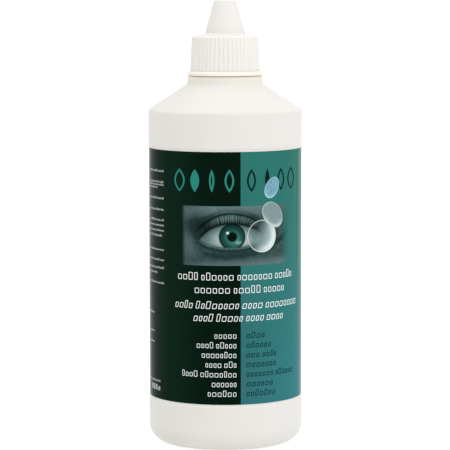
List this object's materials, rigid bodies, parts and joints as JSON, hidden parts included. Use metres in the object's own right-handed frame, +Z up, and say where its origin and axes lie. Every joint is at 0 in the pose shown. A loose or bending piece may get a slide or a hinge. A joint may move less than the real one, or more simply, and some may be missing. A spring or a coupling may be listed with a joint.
{
  "type": "contact lens solution bottle",
  "caption": "Round white squeeze bottle for contact lens solution, with a wrap-around label, a dropper insert and a ribbed screw cap whose cone covers the dropper tip.",
  "frame": {"origin": "centre of the ring that the bottle stands on, on the surface it stands on", "axes": "+Z up along the bottle's axis; -Y is the front, where the middle of the label's front panel is"},
  "size_m": [0.0684, 0.0684, 0.197],
  "materials": {
    "bottle_plastic": "satin white blow-moulded polyethylene, faintly milky",
    "insert_plastic": "waxy natural polyethylene",
    "cap_plastic": "satin white injection-moulded polypropylene",
    "label_film": "printed polypropylene film under a satin-gloss varnish, half near-black green and half teal",
    "solution": "clear watery liquid"
  },
  "bodies": {
    "bottle": {"bottle": "bottle_plastic", "dropper_insert": "insert_plastic", "label": "label_film", "solution": "solution"},
    "band": {"tamper_band": "cap_plastic"},
    "cap": {"cap": "cap_plastic"}
  },
  "joints": [
    {"name": "cap_turn", "type": "hinge", "parent": "bottle", "child": "band", "pos_m": [0, 0, 0.165], "axis": [0, 0, 1], "range_deg": [0, 2600]},
    {"name": "cap_lift", "type": "slide", "parent": "band", "child": "cap", "axis": [0, 0, 1], "range_m": [0, 0.03048]}
  ],
  "couplings": [
    {"joint": "cap_turn", "follows": "cap_lift", "rad_per_m": 1484.2}
  ]
}
